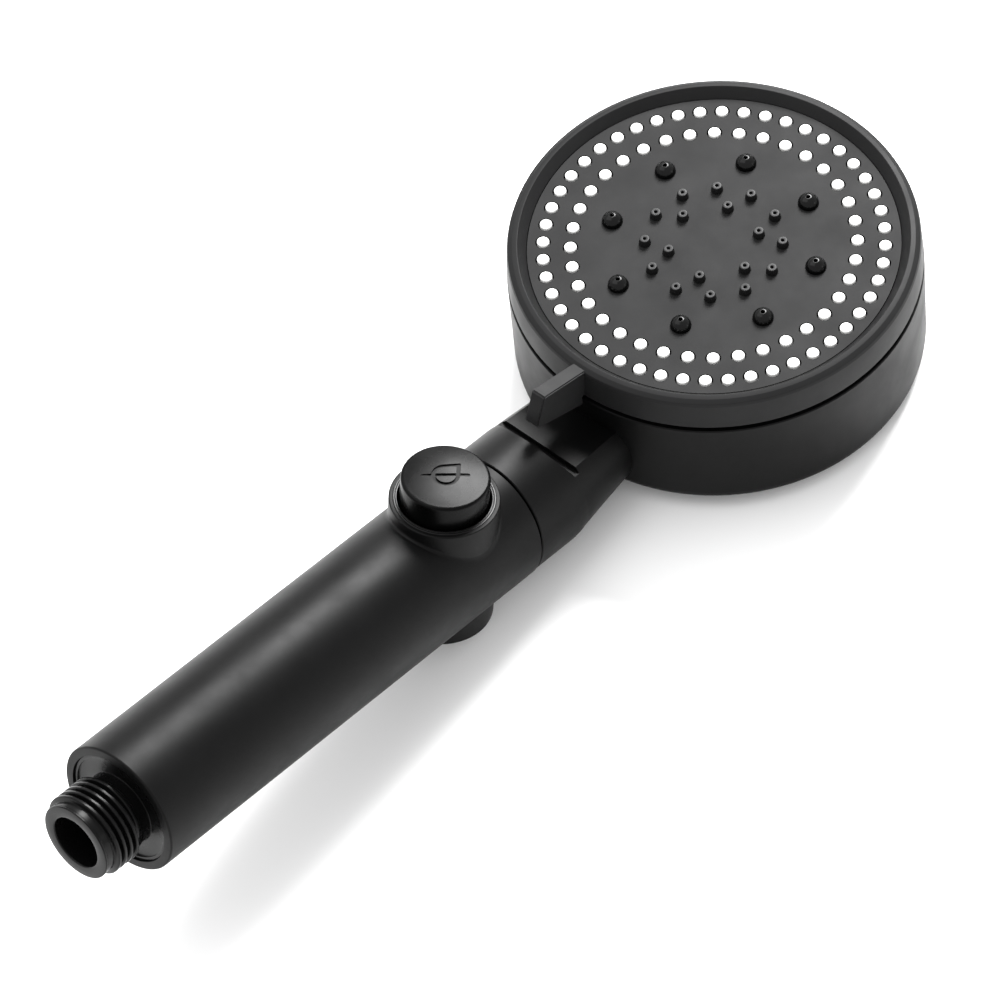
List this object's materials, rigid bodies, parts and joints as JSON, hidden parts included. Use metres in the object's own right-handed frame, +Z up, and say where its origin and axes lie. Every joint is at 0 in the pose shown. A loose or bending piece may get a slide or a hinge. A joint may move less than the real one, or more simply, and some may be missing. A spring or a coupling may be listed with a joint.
{
  "type": "handheld shower head",
  "caption": "Straight-grip handheld shower head with a threaded hose inlet, a push-through stop button and a round tilted head whose face dial turns by a lever.",
  "frame": {"origin": "middle of the box's bottom face, on the surface the head lies on", "axes": "+X from the hose inlet towards the spray head, +Z up, out of the spray face when the object lies on its back, +Y to the side"},
  "size_m": [0.2668, 0.0982, 0.061],
  "materials": {
    "grip_black": "satin black",
    "plug_black": "glossy black",
    "inner_black": "matt black",
    "bezel_black": "satin black",
    "cap_black": "fine matt black",
    "dial_black": "satin black",
    "face_grey": "fine matt dark grey",
    "nub_white": "soft white",
    "jet_black": "glossy black",
    "mist_grey": "matt dark grey",
    "natural_plastic": "natural white",
    "seal_rubber": "black rubber",
    "stainless": "bright"
  },
  "bodies": {
    "shell": {"handle_sleeve": "grip_black", "end_plug": "plug_black", "plug_oring": "seal_rubber", "inlet_screen": "stainless", "inner_pipe": "natural_plastic", "pipe_orings": "seal_rubber", "valve_body": "inner_black", "front_bezel": "bezel_black", "rear_bezel": "bezel_black", "neck_oring": "seal_rubber", "head_housing": "grip_black", "water_duct": "natural_plastic", "duct_screws": "stainless", "port_seal": "seal_rubber", "seal_spring": "stainless", "detent_ball": "stainless", "detent_spring": "stainless", "pivot_screw": "stainless", "pivot_washer": "stainless", "pivot_oring": "seal_rubber"},
    "dial": {"mode_dial": "dial_black", "face_plate": "face_grey", "nozzle_mat": "nub_white", "jet_insert": "jet_black", "mist_insert": "mist_grey", "distributor": "natural_plastic", "port_plate": "natural_plastic", "dial_oring": "seal_rubber"},
    "button": {"stop_button": "cap_black", "valve_spool": "natural_plastic", "spool_orings": "seal_rubber", "rear_button": "cap_black"}
  },
  "joints": [
    {"name": "dial_turn", "type": "hinge", "parent": "shell", "child": "dial", "pos_m": [0.08461, 0, 0.03644], "axis": [0.0382, 0, 0.9993], "range_deg": [-24, 24]},
    {"name": "button_slide", "type": "slide", "parent": "shell", "child": "button", "axis": [-0.2137, 0, -0.9769], "range_m": [0, 0.005]}
  ]
}
